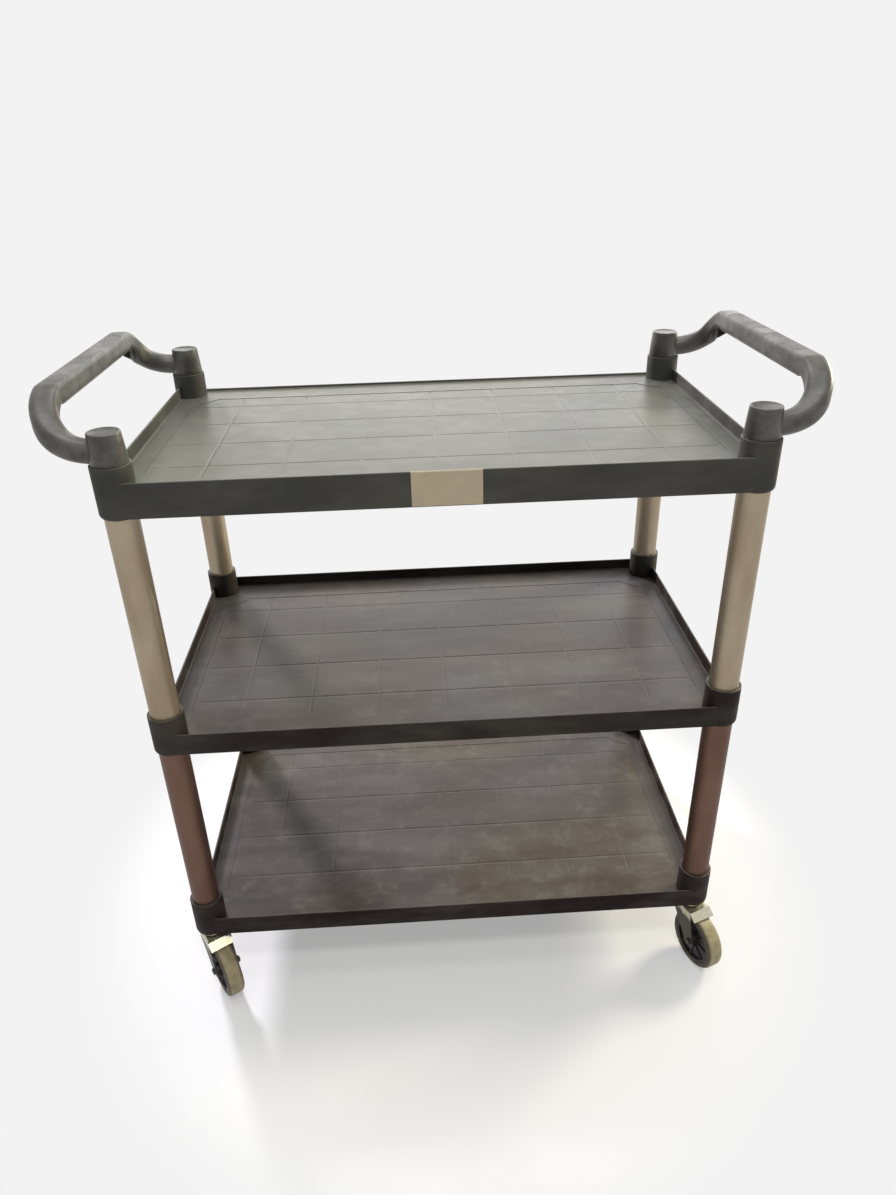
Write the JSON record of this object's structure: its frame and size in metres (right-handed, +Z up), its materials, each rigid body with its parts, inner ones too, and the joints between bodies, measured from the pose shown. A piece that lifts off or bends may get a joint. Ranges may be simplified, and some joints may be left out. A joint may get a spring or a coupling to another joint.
{
  "type": "food service trolley",
  "caption": "Tiered food service trolley: moulded grey trays on aluminium posts, a looped push handle at each end and swivel casters.",
  "frame": {"origin": "on the ground, under the middle of the trays", "axes": "+X along the trays' length towards the right handle, +Z up, -Y towards the front with the label; the top tray's low rim is at the rear, +Y"},
  "size_m": [0.994, 0.6022, 0.9988],
  "materials": {
    "polypropylene_grey": "moulded grey polypropylene, satin",
    "handle_plastic": "moulded grey polypropylene, semi-gloss",
    "anodised_aluminium": "satin anodised tube",
    "zinc_plated_steel": "pressed and zinc plated",
    "bearing_steel": "polished balls",
    "black_plastic": "moulded black plastic",
    "hub_plastic": "moulded dark polypropylene",
    "grey_rubber": "beige-grey thermoplastic rubber",
    "label_paper": "blank pale label"
  },
  "bodies": {
    "root": {"top_tray": "polypropylene_grey", "middle_tray": "polypropylene_grey", "bottom_tray": "polypropylene_grey", "left_handle": "handle_plastic", "right_handle": "handle_plastic", "blank_label": "label_paper", "front_left_upper_post": "anodised_aluminium", "front_left_lower_post": "anodised_aluminium", "front_left_stem_plug": "black_plastic", "front_left_stem": "zinc_plated_steel", "front_left_bearing_cup": "zinc_plated_steel", "front_left_balls": "bearing_steel", "front_left_washer": "zinc_plated_steel", "front_right_upper_post": "anodised_aluminium", "front_right_lower_post": "anodised_aluminium", "front_right_stem_plug": "black_plastic", "front_right_stem": "zinc_plated_steel", "front_right_bearing_cup": "zinc_plated_steel", "front_right_balls": "bearing_steel", "front_right_washer": "zinc_plated_steel", "rear_left_upper_post": "anodised_aluminium", "rear_left_lower_post": "anodised_aluminium", "rear_left_stem_plug": "black_plastic", "rear_left_stem": "zinc_plated_steel", "rear_left_bearing_cup": "zinc_plated_steel", "rear_left_balls": "bearing_steel", "rear_left_washer": "zinc_plated_steel", "rear_right_upper_post": "anodised_aluminium", "rear_right_lower_post": "anodised_aluminium", "rear_right_stem_plug": "black_plastic", "rear_right_stem": "zinc_plated_steel", "rear_right_bearing_cup": "zinc_plated_steel", "rear_right_balls": "bearing_steel", "rear_right_washer": "zinc_plated_steel"},
    "front_left_caster": {"front_left_fork": "zinc_plated_steel", "front_left_axle_bolt": "zinc_plated_steel", "front_left_axle_nut": "zinc_plated_steel", "front_left_axle_sleeve": "zinc_plated_steel"},
    "front_left_wheel": {"front_left_hub": "hub_plastic", "front_left_tread": "grey_rubber"},
    "front_right_caster": {"front_right_fork": "zinc_plated_steel", "front_right_axle_bolt": "zinc_plated_steel", "front_right_axle_nut": "zinc_plated_steel", "front_right_axle_sleeve": "zinc_plated_steel"},
    "front_right_wheel": {"front_right_hub": "hub_plastic", "front_right_tread": "grey_rubber"},
    "rear_left_caster": {"rear_left_fork": "zinc_plated_steel", "rear_left_axle_bolt": "zinc_plated_steel", "rear_left_axle_nut": "zinc_plated_steel", "rear_left_axle_sleeve": "zinc_plated_steel"},
    "rear_left_wheel": {"rear_left_hub": "hub_plastic", "rear_left_tread": "grey_rubber"},
    "rear_right_caster": {"rear_right_fork": "zinc_plated_steel", "rear_right_axle_bolt": "zinc_plated_steel", "rear_right_axle_nut": "zinc_plated_steel", "rear_right_axle_sleeve": "zinc_plated_steel"},
    "rear_right_wheel": {"rear_right_hub": "hub_plastic", "rear_right_tread": "grey_rubber"}
  },
  "joints": [
    {"name": "front_left_swivel", "type": "hinge", "parent": "root", "child": "front_left_caster", "pos_m": [-0.4, -0.224, 0.106], "axis": [0, 0, 1], "continuous": true},
    {"name": "front_left_roll", "type": "hinge", "parent": "front_left_caster", "child": "front_left_wheel", "pos_m": [-0.38357, -0.25029, 0.0485], "axis": [-0.848, -0.5299, 0], "continuous": true},
    {"name": "front_right_swivel", "type": "hinge", "parent": "root", "child": "front_right_caster", "pos_m": [0.4, -0.224, 0.106], "axis": [0, 0, 1], "continuous": true},
    {"name": "front_right_roll", "type": "hinge", "parent": "front_right_caster", "child": "front_right_wheel", "pos_m": [0.41111, -0.25294, 0.0485], "axis": [-0.9336, -0.3584, 0], "continuous": true},
    {"name": "rear_left_swivel", "type": "hinge", "parent": "root", "child": "rear_left_caster", "pos_m": [-0.4, 0.224, 0.106], "axis": [0, 0, 1], "continuous": true},
    {"name": "rear_left_roll", "type": "hinge", "parent": "rear_left_caster", "child": "rear_left_wheel", "pos_m": [-0.41111, 0.25294, 0.0485], "axis": [0.9336, 0.3584, 0], "continuous": true},
    {"name": "rear_right_swivel", "type": "hinge", "parent": "root", "child": "rear_right_caster", "pos_m": [0.4, 0.224, 0.106], "axis": [0, 0, 1], "continuous": true},
    {"name": "rear_right_roll", "type": "hinge", "parent": "rear_right_caster", "child": "rear_right_wheel", "pos_m": [0.38357, 0.25029, 0.0485], "axis": [0.848, 0.5299, 0], "continuous": true}
  ]
}
